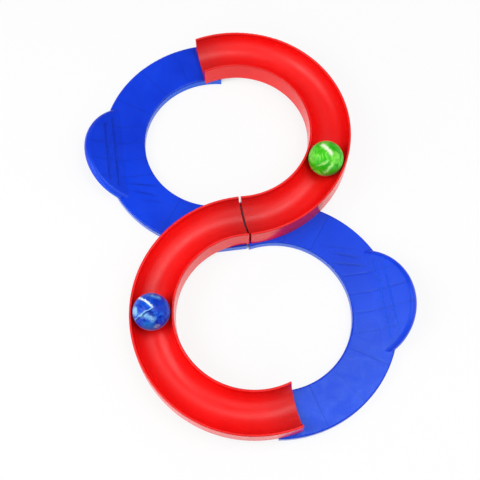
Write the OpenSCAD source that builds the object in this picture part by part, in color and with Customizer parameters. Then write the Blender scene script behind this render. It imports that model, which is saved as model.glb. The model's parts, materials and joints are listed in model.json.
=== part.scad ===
// Figure-of-eight ball track toy: two open half-ring channels carried on two half-ring base plates
// with raised handles, and a bouncy ball in each channel. The toy looks the same after half a turn.
// Frame: origin on the table under the crossing, +Y along the long axis, +X right, +Z up.

/* [Track layout] */
// Radius of a channel's centre line
arc_r = 87; // [80:1:110]
// Angle between the two S shapes where they cross
cross_angle = 12.7; // [6:0.1:18]
// Length of each half ring past the long axis at its free end
end_lap = 9.2; // [7:0.1:14]
// Gap between the two channel ends that face each other at the crossing
centre_gap = 2; // [1:0.1:5]
// Gap between the two base ends under it
base_gap = 2; // [0.6:0.1:5]
// Angle of the end cuts to the long axis, one way on the channels and the other way on the bases
end_lean = 3.2; // [0:0.1:6]
// How much further out a base ring's centre lies than a channel's
base_shift = 2.2; // [0:0.1:3]

/* [Channel] */
// Width across the rims
channel_w = 38; // [37:0.1:46]
// Height from the base plate to the top of the rims
channel_h = 20.5; // [18:0.1:26]
// Height of the trough's lowest line above the base plate
trough_floor = 3.5; // [2.8:0.1:6]
// Thickness of a rim
rim_w = 2.2; // [1.6:0.1:3]
// Lean of a channel's side wall from rim to foot
channel_draft = 0.6; // [0:0.1:1.5]

/* [Base plate] */
// Width of the half ring
base_w = 40.2; // [39:0.1:48]
// Height of the half ring
base_h = 8.2; // [7:0.1:12]
// Rounding of the plate's upper edges
base_edge_r = 1.6; // [0.4:0.1:2.4]
// How far the straight-sided tongue at the crossing stands out past the half ring
tongue_out = 1.9; // [0.5:0.1:3]
// Angle of the tongue's side to the line across the crossing
tongue_turn = 3.9; // [2:0.1:6]
// Length of the tongue's side under the channel, from its point nearest the half ring's centre
tongue_back = 12; // [4:0.5:18]

/* [Handle] */
// Radius of the handle's round edge
handle_r = 50.5; // [44:0.5:56]
// Length of the handle's face, from the crease where it starts to rise to its outer edge
handle_len = 36.7; // [30:0.1:42]
// Distance of the crease from the half ring's outer edge
handle_inset = 20; // [14:0.1:24]
// Direction of the handle from the base ring's centre
handle_angle = 177; // [170:1:184]
// Slope of the handle's face
handle_tilt = 30; // [15:0.5:40]
// Thickness of the handle at its edge
handle_t = 6; // [4.5:0.1:9]
// Rounding of the handle's upper edge
handle_edge_r = 4; // [3:0.1:4.5]
// Distance between the grip grooves
grip_pitch = 8.2; // [6:0.1:11]
// Number of grip grooves
grip_count = 2; // [1:1:3]
// Width of a grip groove
grip_w = 1.8; // [1:0.1:3]
// Depth of a grip groove
grip_depth = 0.5; // [0.2:0.1:0.8]
// Bare length between a groove's end and the rounded edge
grip_end = 5; // [2:0.5:10]

/* [Moulding] */
// Thickness of the moulded walls
wall = 2.2; // [1.6:0.1:2.6]
// Thickness of the ribs underneath
rib_t = 1.6; // [1:0.1:2.4]
// Angle between two radial ribs
rib_step = 21; // [14:1:30]
// Number of radial ribs under a channel
channel_ribs = 8; // [4:1:10]
// Number of radial ribs to each side of a handle
base_ribs = 3; // [1:1:4]
// Angle from the handle's middle to the first radial rib
rib_start = 33; // [30:1:40]
// Number of straight ribs under a handle
handle_ribs = 4; // [2:1:5]
// Distance between the straight ribs under a handle
handle_rib_pitch = 17.5; // [12:0.5:24]

/* [Screws] */
// Thread diameter
screw_d = 3; // [2.5:0.1:3.5]
// Length under the head
screw_l = 7.5; // [6:0.1:8]
// Head diameter
screw_head_d = 5.6; // [5:0.1:6.4]
// Head height
screw_head_h = 2; // [1.5:0.1:2.6]
// Distance between the two screws of a joint
screw_spread = 25; // [22:0.5:27]
// Distance of the screws at the crossing from the channel's end
screw_inset = 11; // [8:0.5:16]
// Play between a screw's thread and the holes round it
screw_play = 0.2; // [0.1:0.05:0.5]
// Play between a screw's head and the well round it
well_play = 0.4; // [0.2:0.1:0.8]
// Room between a screw's tip and the end of its hole
tip_play = 0.4; // [0.2:0.1:0.8]

/* [Balls] */
// Ball diameter
ball_d = 32; // [25:1:33]
// Play between a ball and the trough
ball_play = 0.3; // [0.2:0.1:1]
// Place of the green ball along its channel
green_ball_angle = -31.5; // [-80:0.5:90]
// Place of the blue ball along its channel
blue_ball_angle = -10; // [-80:0.5:90]

/* [Hidden] */
$fn = 96;

channel_red = [0.86, 0.09, 0.09];
base_blue = [0.10, 0.22, 0.80];
screw_grey = [0.72, 0.73, 0.75];

// Cuts run this far past the faces that they open
over = 1;
// Larger than the whole toy
far = 8 * arc_r;

half_cross = cross_angle / 2;
channel_c = arc_r * [sin(half_cross), cos(half_cross)];
base_c = (arc_r + base_shift) * [-sin(half_cross), cos(half_cross)];

rim_z = base_h + channel_h;
rim_r = rim_w / 2;
channel_half = channel_w / 2;

// The trough is one arc through its lowest line and the inner side of both rims
trough_half = channel_half - rim_w;
trough_drop = channel_h - trough_floor - rim_r;
trough_r = (trough_half ^ 2 + trough_drop ^ 2) / (2 * trough_drop);
trough_z = base_h + trough_floor + trough_r;

base_out_r = arc_r + base_w / 2;
crease_x = base_out_r - handle_inset;
// Centre of the handle's round edge, along its face from the crease
handle_c = handle_len - handle_r;
// Deep enough to reach the table from anywhere on the handle's face
handle_depth = base_h + handle_len;

// A screw's head bears on the underside of the plate's top wall
screw_seat_z = base_h - wall;
boss_d = screw_d + 2 * wall;
well_d = screw_head_d + 2 * well_play;
well_boss_d = well_d + wall;
screw_hole_d = screw_d + 2 * screw_play;
pilot_l = screw_l - wall + tip_play;

// Whole steps, spread evenly round zero
function spread(count) = [for (i = [0 : count - 1]) i - (count - 1) / 2];

// Height of a channel's centre line above (+1) or below (-1) the ring's centre, at a given x
function channel_y(x, side) = channel_c.y + side * sqrt(arc_r ^ 2 - (x - channel_c.x) ^ 2);

// The two screws of a joint stand side by side across the channel
function screw_pair(x, side) =
    [for (s = [-1, 1]) [x, channel_y(x, side) + s * screw_spread / 2]];

top_screws = screw_pair(0, 1);
right_screws = screw_pair(centre_gap / 2 + screw_inset, -1);

// A ball lies on the trough's lowest line, or on the rims if it is too wide to reach it
rim_reach = channel_half - rim_r;
ball_reach = ball_d / 2 + rim_r + ball_play;
floor_seat = base_h + trough_floor + ball_play + ball_d / 2;
rim_seat = rim_z - rim_r + sqrt(max(0, ball_reach ^ 2 - rim_reach ^ 2));
ball_z = ball_reach > rim_reach ? max(floor_seat, rim_seat) : floor_seat;

module half_turn() {
    rotate([0, 0, 180]) children();
}

// Cross-section of a channel without its hollow: side walls, round rims and the trough between
module channel_section() {
    difference() {
        union() {
            polygon([
                [-channel_half - channel_draft, base_h],
                [channel_half + channel_draft, base_h],
                [channel_half, rim_z - rim_r],
                [-channel_half, rim_z - rim_r]
            ]);
            for (s = [-1, 1])
                translate([s * rim_reach, rim_z - rim_r]) circle(rim_r);
        }
        translate([0, trough_z]) circle(trough_r);
    }
}

// Cross-section of the hollow under the trough
module channel_hollow_section() {
    foot = channel_half + channel_draft - wall;
    difference() {
        polygon([
            [-foot, base_h - over],
            [foot, base_h - over],
            [foot - channel_draft, trough_z],
            [-foot + channel_draft, trough_z]
        ]);
        translate([0, trough_z]) circle(trough_r + wall);
    }
}

// Place of a leaning end cut through a given point, at another distance along the long axis
function cut_x(x, y, at_y) = x - (at_y - y) * tan(end_lean);

// Keeps what lies to one side (+1 right, -1 left) of two end cuts, moved in by an inset: the one at the
// crossing below the ring's middle, and the one at the free end above it
module between_ends(side, gap, middle, inset) {
    cross_x = gap / 2 + inset;
    free_x = inset - end_lap;
    free_y = 2 * middle;
    outline = [
        [cut_x(cross_x, 0, -far), -far],
        [cut_x(cross_x, 0, middle), middle],
        [cut_x(free_x, free_y, middle), middle],
        [cut_x(free_x, free_y, far), far],
        [2 * far, far],
        [2 * far, -far]
    ];
    intersection() {
        children();
        translate([0, 0, -over]) linear_extrude(far)
            polygon([for (p = outline) [side * p.x, p.y]]);
    }
}

// Sweeps a cross-section round the upper right channel's centre, between its two ends less an inset
module channel_sweep(inset) {
    between_ends(1, centre_gap, channel_c.y, inset)
        translate(channel_c)
            rotate_extrude() translate([arc_r, 0]) children();
}

module channel() {
    screws = concat(top_screws, right_screws);
    difference() {
        channel_sweep(0) channel_section();
        difference() {
            channel_sweep(wall) channel_hollow_section();
            for (i = spread(channel_ribs))
                translate(channel_c) rotate([0, 0, i * rib_step])
                    translate([arc_r - channel_w, -rib_t / 2, 0])
                        cube([2 * channel_w, rib_t, rim_z]);
            for (p = screws)
                translate(p) cylinder(d = boss_d, h = rim_z);
        }
        for (p = screws)
            translate([p.x, p.y, base_h - over])
                cylinder(d = screw_hole_d, h = pilot_l + over);
    }
}

// Cross-section of a base plate, with its two upper edges rounded
module base_section() {
    half_w = base_w / 2;
    translate([-half_w, 0]) square([base_w, base_h - base_edge_r]);
    translate([base_edge_r - half_w, 0]) square([base_w - 2 * base_edge_r, base_h]);
    for (s = [-1, 1])
        translate([s * (half_w - base_edge_r), base_h - base_edge_r]) circle(base_edge_r);
}

module base_hollow_section() {
    translate([wall - base_w / 2, -over])
        square([base_w - 2 * wall, base_h - wall + over]);
}

// Sweeps a cross-section round the upper left base's centre, between its two ends less an inset
module base_sweep(inset) {
    between_ends(-1, base_gap, base_c.y, inset)
        translate(base_c)
            rotate_extrude() translate([arc_r, 0]) children();
}

// Straight-sided tongue at the crossing, a little lower than the plate's upper face
module base_tongue() {
    between_ends(-1, base_gap, base_c.y, 0)
        translate(base_c) rotate([0, 0, -90 - tongue_turn]) translate([arc_r, -tongue_back, 0])
            cube([base_w / 2 + tongue_out, tongue_back + base_w, base_h - base_edge_r / 2]);
}

// Places a shape on the handle's upper face: x runs outwards from the crease, z stands on the face
module on_handle_face() {
    translate(base_c) rotate([0, 0, handle_angle])
        translate([crease_x, 0, base_h]) rotate([0, -handle_tilt, 0])
            children();
}

// Keeps the part of the handle outside the crease and above a given height
module outside_crease(low) {
    intersection() {
        children();
        translate(base_c) rotate([0, 0, handle_angle])
            translate([crease_x, -far / 2, low]) cube([far, far, far]);
    }
}

// Column over the base ring's whole disc, less an inset
module over_ring(inset) {
    translate([base_c.x, base_c.y, -over]) cylinder(r = base_out_r - inset, h = far);
}

// Round slab along the handle's face, from a given drop under the face, its upper edge rounded
module handle_slab(radius, edge_r, drop, depth) {
    on_handle_face()
        translate([handle_c, 0, -drop])
            rotate_extrude() {
                translate([0, -depth]) square([radius, depth - edge_r]);
                translate([0, -edge_r]) square([radius - edge_r, edge_r]);
                intersection() {
                    translate([radius - edge_r, -edge_r]) circle(edge_r);
                    translate([0, -edge_r]) square([radius, edge_r]);
                }
            }
}

// The handle is a wing past the half ring, and reaches the table within it
module handle() {
    outside_crease(0) handle_slab(handle_r, handle_edge_r, 0, handle_t);
    outside_crease(0)
        intersection() {
            handle_slab(handle_r, handle_edge_r, 0, handle_depth);
            over_ring(0);
        }
}

// Hollow under the handle, with the half ring's outer wall left standing across it
module handle_hollow() {
    radius = handle_r - wall;
    edge_r = handle_edge_r - wall;
    outside_crease(-over) {
        intersection() {
            handle_slab(radius, edge_r, wall, handle_depth);
            over_ring(wall);
        }
        difference() {
            handle_slab(radius, edge_r, wall, handle_t);
            over_ring(0);
        }
    }
}

module grip_grooves() {
    groove_r = (grip_w ^ 2 / 4 + grip_depth ^ 2) / (2 * grip_depth);
    for (i = [1 : grip_count]) {
        x = i * grip_pitch;
        half_l = sqrt((handle_r - handle_edge_r) ^ 2 - (x - handle_c) ^ 2) - grip_end;
        on_handle_face()
            translate([x, half_l, groove_r - grip_depth]) rotate([90, 0, 0])
                cylinder(r = groove_r, h = 2 * half_l);
    }
}

// Radial ribs under the half ring, and straight ones from its inner wall to the handle's edge
module base_rib_set() {
    ring_in_r = arc_r - base_w / 2;
    translate(base_c) rotate([0, 0, handle_angle]) {
        for (side = [-1, 1], i = [0 : base_ribs - 1])
            rotate([0, 0, side * (rib_start + i * rib_step)])
                translate([ring_in_r, -rib_t / 2, 0]) cube([base_w, rib_t, far]);
        for (i = spread(handle_ribs))
            translate([ring_in_r - over, i * handle_rib_pitch - rib_t / 2, 0])
                cube([base_w + handle_r, rib_t, far]);
    }
}

module base() {
    left_screws = [for (p = right_screws) -p];
    screws = concat(top_screws, left_screws);
    difference() {
        union() {
            base_sweep(0) base_section();
            base_tongue();
            handle();
        }
        difference() {
            union() {
                base_sweep(wall) base_hollow_section();
                handle_hollow();
            }
            base_rib_set();
            for (p = screws)
                translate(p) cylinder(d = well_boss_d, h = base_h);
        }
        for (p = screws) {
            translate([p.x, p.y, -over]) cylinder(d = well_d, h = screw_seat_z + over);
            translate(p) cylinder(d = screw_hole_d, h = base_h + over);
        }
        grip_grooves();
    }
}

// Pan-head screw standing on its head, with a cross recess; its seat is at height 0
module screw() {
    head_r = screw_head_d / 2;
    crown = screw_head_h / 2;
    tip = screw_d / 2;
    recess_w = screw_d / 4;
    color(screw_grey)
        difference() {
            rotate_extrude()
                polygon([
                    [0, -screw_head_h],
                    [head_r - crown, -screw_head_h],
                    [head_r, crown - screw_head_h],
                    [head_r, 0],
                    [screw_d / 2, 0],
                    [screw_d / 2, screw_l - tip],
                    [0, screw_l]
                ]);
            for (turn = [0, 90])
                rotate([0, 0, turn])
                    translate([-screw_d / 2, -recess_w / 2, -screw_head_h - over])
                        cube([screw_d, recess_w, crown + over]);
        }
}

module screw_at(p) {
    translate([p.x, p.y, screw_seat_z]) screw();
}

// Ball in the upper right channel, at an angle round the channel's centre
module ball(angle) {
    translate([channel_c.x, channel_c.y, ball_z]) rotate([0, 0, angle])
        translate([arc_r, 0, 0]) sphere(d = ball_d);
}

module upper_right_channel() {
    color(channel_red) channel();
}

module lower_left_channel() {
    half_turn() upper_right_channel();
}

module upper_left_base() {
    color(base_blue) base();
}

module lower_right_base() {
    half_turn() upper_left_base();
}

module green_ball() {
    color([0.30, 0.72, 0.12]) ball(green_ball_angle);
}

module blue_ball() {
    color([0.12, 0.32, 0.72]) half_turn() ball(blue_ball_angle);
}

upper_right_channel();
lower_left_channel();
upper_left_base();
lower_right_base();
green_ball();
blue_ball();
screw_at(top_screws[0]);  // top_inner_screw
screw_at(top_screws[1]);  // top_outer_screw
half_turn() screw_at(top_screws[0]);  // bottom_inner_screw
half_turn() screw_at(top_screws[1]);  // bottom_outer_screw
screw_at(right_screws[0]);  // right_lower_screw
screw_at(right_screws[1]);  // right_upper_screw
half_turn() screw_at(right_screws[0]);  // left_upper_screw
half_turn() screw_at(right_screws[1]);  // left_lower_screw
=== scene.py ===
"""Looks of the figure-of-eight ball track toy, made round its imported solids."""

import json
import math

import bpy
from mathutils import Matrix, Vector


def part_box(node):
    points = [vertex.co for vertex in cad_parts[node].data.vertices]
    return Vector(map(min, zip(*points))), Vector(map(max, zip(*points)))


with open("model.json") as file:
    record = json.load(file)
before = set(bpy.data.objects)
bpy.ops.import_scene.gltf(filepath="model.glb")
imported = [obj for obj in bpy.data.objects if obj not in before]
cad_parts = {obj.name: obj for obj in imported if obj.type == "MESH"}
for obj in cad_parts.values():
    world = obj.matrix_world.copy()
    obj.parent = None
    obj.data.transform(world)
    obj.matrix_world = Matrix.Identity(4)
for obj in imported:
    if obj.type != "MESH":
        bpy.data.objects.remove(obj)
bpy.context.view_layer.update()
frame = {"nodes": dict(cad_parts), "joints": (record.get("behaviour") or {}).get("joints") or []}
nodes = frame["nodes"]

# Lengths are in metres and angles in degrees, in the frame of the solids
ORIGIN = (0.0, 0.0, 0.0)
AS_DRAWN, HALF_TURNED = 1.0, -1.0

# Where the marks of a channel lie
CHANNEL_CENTRE = frame["joints"][0]["pos_m"]
RIM_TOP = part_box("upper_right_channel")[1].z
ARC_RADIUS = 0.087
TROUGH_HALF = 0.0174
GRAINY_END_SPAN, GRAINY_END_SHARES = (0.024, -0.010), (0.35, 1.0)
DIM_END_SPAN = (0.065, 0.0)
DIM_END_SIDES, DIM_END_SHARES = (0.03, -0.03), (0.55, 1.0)
RIM_LINE_DROP, RIM_LINE_WIDTH = 0.0020, 0.0011
LIP_SPAN = (0.0180, 0.0185)
LIP_FOOT_DROP, LIP_HEAD_DROP = 0.0018, 0.0010
WALL_OFFSET, WALL_TOP_DROP = 0.0186, 0.0012
OTHER_BASE_CENTRE = (0.009866, -0.088653, 0.0)
PLATE_INNER_SPAN = (0.069, 0.076)
PLATE_OUTER_SPAN = (0.1085, 0.1070)

# Where the marks of a base plate lie
BASE_CENTRE = (-0.009866, 0.088653, 0.0)
HANDLE_ANGLE = 177.0
CREASE_RADIUS = 0.0871
PLATE_TOP = 0.0082
TOP_DROP = 0.0004
EDGE_DROP, EDGE_WIDTH = 0.0009, 0.0008
RIB_START, RIB_STEP, RIB_WIDTH = 33.0, 21.0, 0.0016
RIB_SIDES, RIB_FIRST_STEPS = (0.0, 0.001), (-0.3, 0.5)
RIB_FADE_BAND, RIB_FADE_SHARES = (0.3, 0.6), (0.35, 1.0)
STRAIGHT_RIB_PITCH, STRAIGHT_RIB_REACH, STRAIGHT_RIB_FIRST = 0.0175, 0.0325, 0.5
SINK_LINES = [
    ((0.0601, 0.0492), (0.0831, 0.0405), 0.9),
    ((0.0582, 0.0395), (0.0869, 0.0325), 1.0),
    ((0.0516, 0.0578), (0.0777, 0.0502), 0.4),
]
SINK_WIDTH = 0.0018
SINK_START, SINK_END = (-0.1, 0.3), (1.1, 0.7)
GROOVE_PITCH, GROOVE_FLAT = 0.0071, 0.0003
GROOVE_FIRST, GROOVE_LAST = 0.5, 2.5
GROOVE_HALF, GROOVE_TAPER = 0.0415, -0.0056
STIPPLE_START, STIPPLE_END = (0.001, 0.008), (0.014, 0.020)
STIPPLE_BAND = (0.50, 0.62)
SLOT_HALF, SLOT_MIDDLE, SLOT_REACH = 0.0016, 0.001, 0.020

# Bands of noise, and of the upward part of a normal on side walls, that the looks are spread over
MIDDLE_BAND, CLOUD_BAND = (0.3, 0.7), (0.35, 0.65)
WALL_BAND = (0.20, 0.50)

# Surface of the moulded plastic; a bump is its strength and depth
PLASTIC_IOR, PLASTIC_SPECULAR = 1.5, 0.38
PLASTIC_ROUGH_SPREAD, WALL_SMOOTHER = 0.12, 0.18
GRAIN_BUMP, SPECK_BUMP = (0.28, 0.00025), (0.16, 0.0003)
SPECK_BAND, SPECK_SHARE = (0.35, 0.75), 0.16
MARK_DEPTH = 0.0003

# Surface of the balls
RUBBER_IOR, RUBBER_SPECULAR = 1.5, 0.2
RUBBER_ROUGH, RUBBER_ROUGH_SPREAD = 0.26, 0.08
SHEEN_WEIGHT, SHEEN_ROUGH = 0.3, 0.25
RUBBER_BUMP = (0.06, 0.0002)
FRAY = 0.12
RIDGE_BAND, RIDGE_SHARE = (0.66, 0.95), 0.45
PATCH_BAND, PATCH_LEAST, PATCH_SPREAD = (0.35, 0.60), 0.45, 2.0
STREAK_BAND, STREAK_ENDS = (0.42, 0.56), (-0.1, 0.1)

# Surface of the screws
ZINC_DARK, ZINC_LIGHT = (0.50, 0.52, 0.54, 1.0), (0.72, 0.72, 0.70, 1.0)
ZINC_ROUGH = (0.25, 0.42)
TURNED_BUMP = (0.2, 0.00005)


class Graph:
    """A material's nodes, with a short call for making one and wiring its inputs."""

    def __init__(self, name):
        self.material = bpy.data.materials.new(name)
        self.material.use_nodes = True
        self.tree = self.material.node_tree
        self.shader = self.tree.nodes["Principled BSDF"]
        surface = self.add("ShaderNodeTexCoord").outputs
        self.place = surface["Object"]
        self.facing = surface["Normal"]

    def add(self, kind, wires=None, **settings):
        node = self.tree.nodes.new(kind)
        for key, value in settings.items():
            setattr(node, key, value)
        self.wire(node, wires or {})
        return node

    def wire(self, node, wires):
        for key, value in wires.items():
            if isinstance(value, bpy.types.NodeSocket):
                self.tree.links.new(value, node.inputs[key])
            else:
                node.inputs[key].default_value = value

    def math(self, operation, *values):
        return self.add("ShaderNodeMath", dict(enumerate(values)), operation=operation).outputs[0]

    def times(self, *values):
        product = values[0]
        for value in values[1:]:
            product = self.math("MULTIPLY", product, value)
        return product

    def gap(self, first, second):
        return self.math("ABSOLUTE", self.math("SUBTRACT", first, second))

    def off_whole(self, value):
        return self.gap(value, self.math("ROUND", value))

    def vector(self, operation, *values, out="Vector"):
        node = self.add("ShaderNodeVectorMath", dict(enumerate(values)), operation=operation)
        return node.outputs[out]

    def dot(self, first, second):
        return self.vector("DOT_PRODUCT", first, second, out="Value")

    def parts(self, vector):
        return self.add("ShaderNodeSeparateXYZ", {0: vector}).outputs

    def noise(self, scale, detail=2.0, rough=0.5, twist=0.0, kind="FBM", out="Fac"):
        wires = {
            "Vector": self.place,
            "Scale": scale,
            "Detail": detail,
            "Roughness": rough,
            "Distortion": twist,
        }
        return self.add("ShaderNodeTexNoise", wires, noise_type=kind).outputs[out]

    def remap(self, value, low, high, to_low=0.0, to_high=1.0, kind="LINEAR"):
        wires = {"Value": value, "From Min": low, "From Max": high, "To Min": to_low, "To Max": to_high}
        return self.add("ShaderNodeMapRange", wires, interpolation_type=kind).outputs["Result"]

    def smooth(self, value, low, high, to_low=0.0, to_high=1.0):
        return self.remap(value, low, high, to_low, to_high, "SMOOTHSTEP")

    def line(self, off, width, peak=1.0):
        return self.smooth(off, 0.0, width, peak, 0.0)

    def walls(self, share=1.0):
        """Share on upright faces, fading to none on level ones."""
        return self.smooth(self.math("ABSOLUTE", self.parts(self.facing)["Z"]), *WALL_BAND, share, 0.0)

    def mix(self, share, first, second):
        return self.add("ShaderNodeMix", {0: share, 6: first, 7: second}, data_type="RGBA").outputs[2]

    def ramp(self, value, stops):
        node = self.add("ShaderNodeValToRGB", {"Fac": value})
        marks = node.color_ramp.elements
        while len(marks) < len(stops):
            marks.new(0.5)
        for mark, (at, colour) in zip(marks, stops):
            mark.position = at
            mark.color = colour
        return node.outputs["Color"]

    def bump(self, height, strength, depth, under=None):
        wires = {"Height": height, "Strength": strength, "Distance": depth}
        if under:
            wires["Normal"] = under
        return self.add("ShaderNodeBump", wires).outputs["Normal"]


def moulded(name, deep, bright, tint, rough, marks):
    """Satin moulded plastic with colour drift and fine grain; its side walls are smoother than the rest.

    Each mark is a mask, the shade it blends in, the share of that and the strength of its dent.
    """
    g = Graph(name)
    drift = g.noise(14.0, detail=3.0, rough=0.55, twist=0.6)
    grain = g.noise(1500.0, rough=0.6)
    speck = g.noise(650.0, detail=1.0)
    flow = g.noise(70.0, detail=4.0, rough=0.6, twist=1.5)
    colour = g.mix(g.remap(drift, *MIDDLE_BAND), deep, bright)
    colour = g.mix(g.remap(speck, *SPECK_BAND, 0.0, SPECK_SHARE), colour, deep)
    normal = g.bump(grain, *GRAIN_BUMP)
    normal = g.bump(speck, *SPECK_BUMP, normal)
    for mask, shade, share, dent in marks(g):
        colour = g.mix(g.times(mask, share), colour, shade)
        if dent:
            normal = g.bump(g.math("SUBTRACT", 1.0, mask), dent, MARK_DEPTH, normal)
    satin = g.remap(flow, *MIDDLE_BAND, rough, rough + PLASTIC_ROUGH_SPREAD)
    roughness = g.math("SUBTRACT", satin, g.walls(WALL_SMOOTHER))
    g.wire(g.shader, {"Base Color": colour, "Roughness": roughness, "Normal": normal})
    g.wire(g.shader, {"IOR": PLASTIC_IOR, "Specular IOR Level": PLASTIC_SPECULAR, "Specular Tint": tint})
    return g.material


def polar(g, turn, centre, spin=0.0):
    """x, y, z and radius round a ring's centre; turn says which half of the toy the piece belongs to."""
    side = g.add("ShaderNodeMapping", {"Vector": g.place, "Scale": (turn, turn, 1.0)}).outputs[0]
    wires = {"Vector": side, "Location": centre, "Rotation": (0.0, 0.0, math.radians(spin))}
    xyz = g.parts(g.add("ShaderNodeMapping", wires, vector_type="TEXTURE").outputs[0])
    square = g.math("ADD", g.math("POWER", xyz["X"], 2.0), g.math("POWER", xyz["Y"], 2.0))
    return xyz["X"], xyz["Y"], xyz["Z"], g.math("SQRT", square)


def channel_marks(turn):
    """A channel's painted shade on its outer wall above the other half's plate, its duller ends and its
    painted shade lines at the rims.
    """
    def marks(g):
        x, y, z, radius = polar(g, turn, CHANNEL_CENTRE)
        off = g.gap(radius, ARC_RADIUS)
        inside = g.math("LESS_THAN", off, TROUGH_HALF)
        along = g.math("ADD", x, CHANNEL_CENTRE[0])
        # Duller, grainy patches with a slight dent in the trough towards its ends
        grain = g.remap(g.noise(800.0, rough=0.6), *CLOUD_BAND, *GRAINY_END_SHARES)
        grainy_ends = g.times(g.smooth(along, *GRAINY_END_SPAN), grain, inside)
        # The trough gets darker towards its ends, most on the crossing's side
        dim_ends = g.times(g.smooth(along, *DIM_END_SPAN), g.remap(y, *DIM_END_SIDES, *DIM_END_SHARES), inside)
        # Painted shade: a thin dark line in the trough just under the rims
        line = g.times(g.line(g.gap(z, RIM_TOP - RIM_LINE_DROP), RIM_LINE_WIDTH), inside)
        # Painted shade: a dark line along the outer rounding of the rims
        head = g.remap(z, RIM_TOP - LIP_FOOT_DROP, RIM_TOP - LIP_HEAD_DROP)
        lip = g.times(g.remap(off, *LIP_SPAN), head)
        outer = g.math("GREATER_THAN", radius, ARC_RADIUS + WALL_OFFSET)
        outside = g.times(outer, g.math("LESS_THAN", z, RIM_TOP - WALL_TOP_DROP))
        # Painted shade on the outer wall where it stands above the other half's plate
        reach = polar(g, turn, OTHER_BASE_CENTRE)[3]
        shade_over_plate = g.times(g.smooth(reach, *PLATE_INNER_SPAN), g.remap(reach, *PLATE_OUTER_SPAN), outside)
        return [
            (shade_over_plate, RED_PAINTED_SHADE, 0.6, 0.0),
            (dim_ends, RED_DULL, 0.45, 0.0),
            (grainy_ends, RED_DULL, 0.62, 0.16),
            (line, RED_PAINTED_SHADE, 0.55, 0.0),
            (lip, RED_PAINTED_SHADE, 0.4, 0.0),
        ]
    return marks


def sink_lines(g, x, y):
    """Mask of the slanting sink marks between a base plate's handle and the crossing."""
    whole = 0.0
    for first, last, share in SINK_LINES:
        first, last = Vector(first), Vector(last)
        length = (last - first).length
        way = (last - first) / length
        side = Vector((-way.y, way.x))
        along, aside = (
            g.math("MULTIPLY_ADD", x, axis.x, g.math("MULTIPLY_ADD", y, axis.y, -first.dot(axis)))
            for axis in (way, side)
        )
        line = g.line(g.math("ABSOLUTE", aside), SINK_WIDTH, share)
        start = g.remap(along, SINK_START[0] * length, SINK_START[1] * length)
        end = g.remap(along, SINK_END[0] * length, SINK_END[1] * length)
        whole = g.math("MAXIMUM", g.times(line, start, end), whole)
    return whole


def base_marks(turn, groove_shade, groove_share, groove_width):
    """A base plate's sink marks with painted shade, grooves with painted shade or light as given, stipple,
    painted light on its sides, a painted shade line at its edge, and painted red bounce light in the slot.
    """
    def marks(g):
        x, y, z, radius = polar(g, turn, BASE_CENTRE, HANDLE_ANGLE)
        across = g.math("ABSOLUTE", y)
        top = g.math("GREATER_THAN", z, PLATE_TOP - TOP_DROP)

        # Sink marks over the ribs and along slanting lines: shallow dents, darkened with painted shade
        angle = g.math("DEGREES", g.math("ARCTAN2", across, x))
        step = g.math("DIVIDE", g.math("SUBTRACT", angle, RIB_START), RIB_STEP)
        arc = g.times(g.off_whole(step), math.radians(RIB_STEP), radius)
        first_step = g.remap(y, *RIB_SIDES, *RIB_FIRST_STEPS)
        radial = g.times(g.line(arc, RIB_WIDTH), g.math("GREATER_THAN", step, first_step))
        count = g.math("SUBTRACT", g.math("DIVIDE", across, STRAIGHT_RIB_PITCH), STRAIGHT_RIB_FIRST)
        beside_rib = g.times(g.off_whole(count), STRAIGHT_RIB_PITCH)
        near = g.times(g.math("LESS_THAN", across, STRAIGHT_RIB_REACH), g.math("GREATER_THAN", x, 0.0))
        straight = g.times(g.line(beside_rib, RIB_WIDTH), near)
        fade = g.remap(g.noise(60.0), *RIB_FADE_BAND, *RIB_FADE_SHARES)
        ribs = g.times(g.math("MAXIMUM", radial, straight), top, fade)
        sunk = g.times(sink_lines(g, x, y), top)

        out = g.math("SUBTRACT", x, CREASE_RADIUS)
        row = g.math("DIVIDE", out, GROOVE_PITCH)
        beside_groove = g.times(g.off_whole(row), GROOVE_PITCH)
        past_first = g.math("GREATER_THAN", row, GROOVE_FIRST)
        before_last = g.math("LESS_THAN", row, GROOVE_LAST)
        within = g.math("LESS_THAN", across, g.math("MULTIPLY_ADD", row, GROOVE_TAPER, GROOVE_HALF))
        # Grooves get painted shade on the left handle and painted light on the right one
        groove = g.smooth(beside_groove, GROOVE_FLAT, groove_width, 1.0, 0.0)
        groove = g.times(groove, past_first, before_last, within)
        band = g.times(g.smooth(out, *STIPPLE_START), g.smooth(out, *STIPPLE_END, 1.0, 0.0))
        stipple = g.times(band, g.smooth(g.noise(520.0, detail=1.0), *STIPPLE_BAND), top)

        # Painted shade: a dark line along the rounded top edge of the plate
        edge = g.line(g.gap(z, PLATE_TOP - EDGE_DROP), EDGE_WIDTH)
        # Painted red bounce light on the plate, seen through the slot between the channels' ends
        spot = g.parts(g.place)
        slot = g.math("LESS_THAN", g.math("ABSOLUTE", spot["X"]), SLOT_HALF)
        slot = g.times(slot, g.math("COMPARE", spot["Y"], SLOT_MIDDLE, SLOT_REACH))
        return [
            (ribs, BLUE_SHADE, 0.3, 0.2),
            (sunk, BLUE_SHADE, 0.6, 0.15),
            (groove, groove_shade, groove_share, 0.0),
            (stipple, BLUE_SHADE, 0.28, 0.10),
            # Painted light: upright sides made paler
            (g.walls(), BLUE_PAINTED_LIGHT, 0.6, 0.0),
            (edge, BLUE_SHADE, 0.6, 0.0),
            (slot, RED_PAINTED_BOUNCE, 1.0, 0.0),
        ]
    return marks


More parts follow.
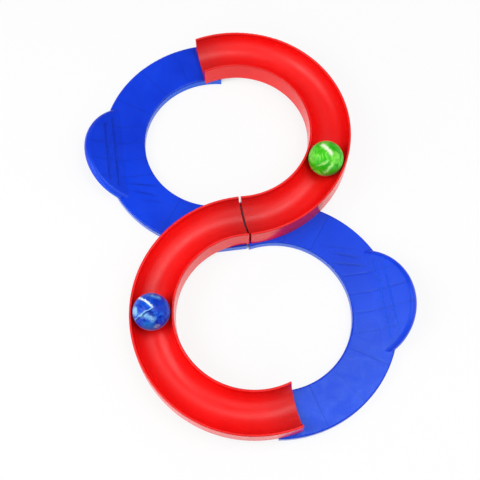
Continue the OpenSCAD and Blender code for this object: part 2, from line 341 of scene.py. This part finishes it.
def streak(g, way, ends, width):
    """Mask of a soft line across a ball, along the great circle between two directions from its centre."""
    first, last = (Vector(end).normalized() for end in ends)
    pole = first.cross(last).normalized()
    line = g.line(g.math("ABSOLUTE", g.dot(way, pole)), width)
    past_first = g.remap(g.dot(way, pole.cross(first)), *STREAK_ENDS)
    before_last = g.remap(g.dot(way, last.cross(pole)), *STREAK_ENDS)
    return g.times(line, past_first, before_last)


def patch(g, way, middle, reach):
    """Mask of a soft round patch on a ball, round a direction from its centre; reach is in degrees."""
    edge = math.cos(math.radians(reach))
    rim = math.cos(math.radians(PATCH_SPREAD * reach))
    return g.smooth(g.dot(way, Vector(middle).normalized()), rim, edge)


def marbled(name, node, stops, patches, streaks):
    """Marbled rubber: swirled clouds of colour, with patches and pale streaks that the swirl frays.

    A patch is its middle, reach, shade and share. A streak is its ends, width, shade, share and brokenness.
    """
    g = Graph(name)
    low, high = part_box(node)
    swirl = g.noise(90.0, detail=6.0, rough=0.68, twist=2.2)
    fray = g.noise(170.0, detail=3.0, rough=0.6, twist=1.0, out="Color")
    ridge = g.noise(95.0, detail=3.0, twist=1.4, kind="RIDGED_MULTIFRACTAL")
    fine = g.noise(900.0)
    way = g.vector("NORMALIZE", g.vector("SUBTRACT", g.place, (low + high) / 2))
    shifted = g.vector("SUBTRACT", way, (FRAY, FRAY, FRAY))
    frayed = g.vector("MULTIPLY_ADD", fray, (2 * FRAY, 2 * FRAY, 2 * FRAY), shifted)
    way = g.vector("NORMALIZE", frayed)
    colour = g.ramp(swirl, stops)
    colour = g.mix(g.smooth(ridge, *RIDGE_BAND, 0.0, RIDGE_SHARE), colour, stops[-1][1])
    cloud = g.remap(swirl, *PATCH_BAND, PATCH_LEAST, 1.0)
    for middle, reach, shade, share in patches:
        colour = g.mix(g.times(patch(g, way, middle, reach), cloud, share), colour, shade)
    for ends, width, shade, share, broken in streaks:
        whole = g.remap(swirl, *STREAK_BAND, 1.0 - broken, 1.0)
        colour = g.mix(g.times(streak(g, way, ends, width), whole, share), colour, shade)
    normal = g.bump(fine, *RUBBER_BUMP)
    roughness = g.remap(swirl, *MIDDLE_BAND, RUBBER_ROUGH, RUBBER_ROUGH + RUBBER_ROUGH_SPREAD)
    g.wire(g.shader, {"Base Color": colour, "Roughness": roughness, "Normal": normal})
    g.wire(g.shader, {"IOR": RUBBER_IOR, "Specular IOR Level": RUBBER_SPECULAR})
    g.wire(g.shader, {"Sheen Weight": SHEEN_WEIGHT, "Sheen Roughness": SHEEN_ROUGH})
    return g.material


def plated(name):
    """Zinc-plated steel, its plating a little cloudy and its faces finely turned."""
    g = Graph(name)
    cloud = g.noise(400.0, detail=3.0, rough=0.6)
    turned = g.noise(3000.0, detail=1.0)
    colour = g.mix(g.remap(cloud, *CLOUD_BAND), ZINC_DARK, ZINC_LIGHT)
    normal = g.bump(turned, *TURNED_BUMP)
    roughness = g.remap(cloud, *MIDDLE_BAND, *ZINC_ROUGH)
    g.wire(g.shader, {"Base Color": colour, "Metallic": 1.0, "Roughness": roughness, "Normal": normal})
    return g.material


RED_DEEP, RED_BRIGHT = (0.87, 0.003, 0.003, 1.0), (0.97, 0.007, 0.007, 1.0)
# The second colour here is painted shade, for the outer wall above the other plate and the lines at the
# rims
RED_DULL, RED_PAINTED_SHADE = (0.40, 0.014, 0.015, 1.0), (0.42, 0.001, 0.001, 1.0)
# Painted red bounce light, for the plate seen through the slot
RED_PAINTED_BOUNCE = (0.72, 0.001, 0.001, 1.0)
RED_TINT, RED_ROUGH = (1.0, 1.0, 1.0, 1.0), 0.32
BLUE_DEEP, BLUE_BRIGHT = (0.0005, 0.027, 0.61, 1.0), (0.002, 0.047, 0.78, 1.0)
# First colour: darker stipple, and painted shade at sink marks, left grooves and edges. Second: painted
# light on sides and right grooves
BLUE_SHADE, BLUE_PAINTED_LIGHT = (0.0005, 0.017, 0.33, 1.0), (0.004, 0.155, 0.88, 1.0)
BLUE_TINT, BLUE_ROUGH = (0.58, 1.0, 1.0, 1.0), 0.29
RED = (RED_DEEP, RED_BRIGHT, RED_TINT, RED_ROUGH)
BLUE = (BLUE_DEEP, BLUE_BRIGHT, BLUE_TINT, BLUE_ROUGH)

# Painted shade in the grooves of the left handle and painted light in those of the right one: colour, share
# and width
LEFT_GROOVES = (BLUE_SHADE, 0.4, 0.0018)
RIGHT_GROOVES = (BLUE_PAINTED_LIGHT, 0.24, 0.0010)

GREEN_DARK, GREEN_LIGHT = (0.016, 0.36, 0.002, 1.0), (0.260, 0.84, 0.080, 1.0)
GREEN_PALE, GREEN_SOFT = (0.880, 0.95, 0.680, 1.0), (0.420, 0.88, 0.240, 1.0)
GREEN_STOPS = [
    (0.38, GREEN_DARK),
    (0.47, (0.030, 0.48, 0.006, 1.0)),
    (0.56, (0.068, 0.61, 0.015, 1.0)),
    (0.68, GREEN_LIGHT),
]
GREEN_PATCHES = [
    ((0.44, 0.05, 0.90), 15.0, GREEN_DARK, 0.7),
    ((-0.30, -0.73, 0.61), 10.0, GREEN_DARK, 0.8),
    ((0.06, -1.00, 0.03), 16.0, GREEN_DARK, 0.6),
    ((0.38, -0.44, 0.82), 12.0, GREEN_LIGHT, 0.7),
    ((-0.84, 0.00, 0.55), 14.0, GREEN_LIGHT, 0.6),
]
GREEN_STREAKS = [
    (((-0.21, 0.53, 0.82), (0.17, -0.25, 0.95)), 0.26, GREEN_SOFT, 0.8, 0.4),
    (((-0.21, 0.53, 0.82), (0.17, -0.25, 0.95)), 0.18, GREEN_PALE, 1.0, 0.2),
    (((-0.70, -0.56, 0.43), (-0.04, -0.56, 0.82)), 0.10, GREEN_SOFT, 0.8, 0.5),
    (((0.19, -0.66, 0.72), (-0.36, -0.93, 0.08)), 0.20, GREEN_SOFT, 0.9, 0.5),
    (((0.70, 0.60, 0.30), (0.55, -0.30, -0.70)), 0.16, GREEN_PALE, 0.8, 0.4),
]

CYAN, FROST, ICE = (0.120, 0.42, 0.800, 1.0), (0.300, 0.66, 0.840, 1.0), (0.780, 0.92, 0.960, 1.0)
INK = (0.001, 0.012, 0.12, 1.0)
BLUE_STOPS = [
    (0.38, (0.001, 0.016, 0.26, 1.0)),
    (0.48, (0.001, 0.046, 0.57, 1.0)),
    (0.60, (0.003, 0.110, 0.66, 1.0)),
    (0.74, CYAN),
]
BLUE_PATCHES = [
    ((-0.84, 0.03, 0.54), 9.0, FROST, 0.8),
    ((-0.25, -0.90, 0.35), 14.0, (0.004, 0.170, 0.560, 1.0), 0.9),
    ((0.55, 0.05, 0.83), 15.0, (0.001, 0.030, 0.480, 1.0), 0.8),
    ((0.18, -0.93, 0.31), 6.0, (0.380, 0.50, 0.680, 1.0), 0.8),
]
BLUE_STREAKS = [
    (((0.03, 0.68, 0.73), (0.60, 0.42, 0.68)), 0.24, CYAN, 0.9, 0.5),
    (((-0.66, -0.25, 0.70), (-0.16, -0.47, 0.87)), 0.26, FROST, 0.9, 0.8),
    (((-0.16, -0.47, 0.87), (0.15, -0.70, 0.70)), 0.28, FROST, 0.9, 0.8),
    (((-0.50, 0.75, 0.43), (0.13, -0.04, 0.99)), 0.10, ICE, 1.0, 0.0),
    (((0.16, -0.12, 0.98), (-0.90, -0.42, 0.12)), 0.06, INK, 0.8, 0.0),
    (((0.14, -0.06, 0.99), (-0.92, -0.35, 0.16)), 0.05, FROST, 0.9, 0.2),
    (((0.80, -0.20, -0.50), (-0.30, -0.70, -0.60)), 0.12, ICE, 0.8, 0.4),
]

finishes = {
    "upper_right_channel": moulded("red_plastic_right", *RED, channel_marks(AS_DRAWN)),
    "lower_left_channel": moulded("red_plastic_left", *RED, channel_marks(HALF_TURNED)),
    "upper_left_base": moulded("blue_plastic_left", *BLUE, base_marks(AS_DRAWN, *LEFT_GROOVES)),
    "lower_right_base": moulded("blue_plastic_right", *BLUE, base_marks(HALF_TURNED, *RIGHT_GROOVES)),
    "green_ball": marbled("green_rubber", "green_ball", GREEN_STOPS, GREEN_PATCHES, GREEN_STREAKS),
    "blue_ball": marbled("blue_rubber", "blue_ball", BLUE_STOPS, BLUE_PATCHES, BLUE_STREAKS),
}
zinc = plated("zinc_plated_steel")

# Sharp edges get a small round; each solid is welded first, so that its faces share their edges
EDGE_ROUND = {"channel": 0.0004, "base": 0.0004, "screw": 0.0001}
EDGE_SEGMENTS = 2
EDGE_ANGLE = 40.0
WELD_REACH = 1e-6
SHADE_WEIGHT = 50
for name, solid in nodes.items():
    solid.data.materials.clear()
    solid.data.materials.append(finishes.get(name, zinc))
    kind = name.rsplit("_", 1)[-1]
    if kind not in EDGE_ROUND:
        continue
    weld = solid.modifiers.new("weld", "WELD")
    weld.merge_threshold = WELD_REACH
    edge = solid.modifiers.new("edge_round", "BEVEL")
    edge.width = EDGE_ROUND[kind]
    edge.segments = EDGE_SEGMENTS
    edge.limit_method = "ANGLE"
    edge.angle_limit = math.radians(EDGE_ANGLE)
    edge.use_clamp_overlap = True
    shade = solid.modifiers.new("even_shading", "WEIGHTED_NORMAL")
    shade.weight = SHADE_WEIGHT
    shade.keep_sharp = False

# Soft boxes: name, place, target, size and power in watts
LAMPS = [
    ("right_box", (0.61, -0.20, 0.80), (0.05, -0.05, 0.0), (0.9, 0.8), 3.05),
    ("left_box", (-0.72, 0.0, 0.75), ORIGIN, (0.5, 0.5), 3.95),
    ("back_box", (-0.10, 1.20, 0.70), (0.0, 0.05, 0.0), (0.8, 0.3), 0.9),
    ("top_box", (0.27, -0.05, 1.20), (0.03, 0.0, 0.0), (0.5, 0.5), 4.1),
    ("low_left_box", (-1.00, -0.10, 0.26), ORIGIN, (1.1, 0.3), 2.7),
    ("low_right_box", (1.00, -0.15, 0.20), ORIGIN, (1.0, 0.3), 1.8),
    ("front_box", (-0.25, -0.80, 0.66), (0.0, -0.1, 0.0), (1.2, 0.5), 2.3),
]
for name, place, target, size, power in LAMPS:
    data = bpy.data.lights.new(name, "AREA")
    data.shape = "RECTANGLE"
    data.size, data.size_y = size
    data.energy = power
    box = bpy.data.objects.new(name, data)
    bpy.context.scene.collection.objects.link(box)
    box.location = place
    box.rotation_euler = (Vector(target) - Vector(place)).to_track_quat("-Z", "Y").to_euler()

# The photo's background is blown out: most of the floor's look is plain white, the rest keeps shadows
WHITE_SHARE = 0.84
GAP_REACH, OPEN_BAND = 0.02, (0.12, 0.40)
PAPER_COLOUR, PAPER_ROUGH, PAPER_SPECULAR = (0.86, 0.86, 0.86, 1.0), 0.9, 0.1
FLOOR_HALF = 6.0
FLOOR_CORNERS = [(x * FLOOR_HALF, y * FLOOR_HALF, 0.0) for x, y in ((-1, -1), (1, -1), (1, 1), (-1, 1))]
WORLD_LEVEL = 0.235


def seen_white(g):
    """Makes most of a floor look plain white to the camera and in reflections, but not in narrow gaps."""
    path = g.add("ShaderNodeLightPath").outputs
    seen = g.math("MAXIMUM", path["Is Camera Ray"], path["Is Glossy Ray"])
    seen = g.math("MAXIMUM", seen, path["Is Transmission Ray"])
    openness = g.add("ShaderNodeAmbientOcclusion", {"Distance": GAP_REACH}).outputs["AO"]
    share = g.times(seen, g.remap(openness, *OPEN_BAND), WHITE_SHARE)
    white = g.add("ShaderNodeEmission").outputs[0]
    blend = g.add("ShaderNodeMixShader", {0: share, 1: g.shader.outputs[0], 2: white})
    g.wire(g.tree.nodes["Material Output"], {"Surface": blend.outputs[0]})


floor_mesh = bpy.data.meshes.new("floor")
floor_mesh.from_pydata(FLOOR_CORNERS, [], [(0, 1, 2, 3)])
floor = bpy.data.objects.new("floor", floor_mesh)
bpy.context.scene.collection.objects.link(floor)
paper = Graph("white_paper")
paper.wire(paper.shader, {"Base Color": PAPER_COLOUR})
paper.wire(paper.shader, {"Roughness": PAPER_ROUGH, "Specular IOR Level": PAPER_SPECULAR})
seen_white(paper)
floor_mesh.materials.append(paper.material)

world = bpy.data.worlds.new("studio")
bpy.context.scene.world = world
world.use_nodes = True
sky = world.node_tree.nodes["Background"]
sky.inputs["Color"].default_value = (1.0, 1.0, 1.0, 1.0)
sky.inputs["Strength"].default_value = WORLD_LEVEL

# Camera solved from the ring edges in the photo; sensor and lens are in millimetres
CAMERA_SENSOR, CAMERA_LENS = 36.0, 61.603
CAMERA_PLACE = (-0.06528, -0.27499, 0.69965)
CAMERA_TURN = (21.0949, -0.4855, -11.3327)
camera_data = bpy.data.cameras.new("photo_camera")
camera_data.sensor_width = CAMERA_SENSOR
camera_data.lens = CAMERA_LENS
camera = bpy.data.objects.new("photo_camera", camera_data)
bpy.context.scene.collection.objects.link(camera)
camera.location = CAMERA_PLACE
camera.rotation_euler = [math.radians(angle) for angle in CAMERA_TURN]
bpy.context.scene.camera = camera
bpy.context.scene.view_settings.view_transform = "Standard"
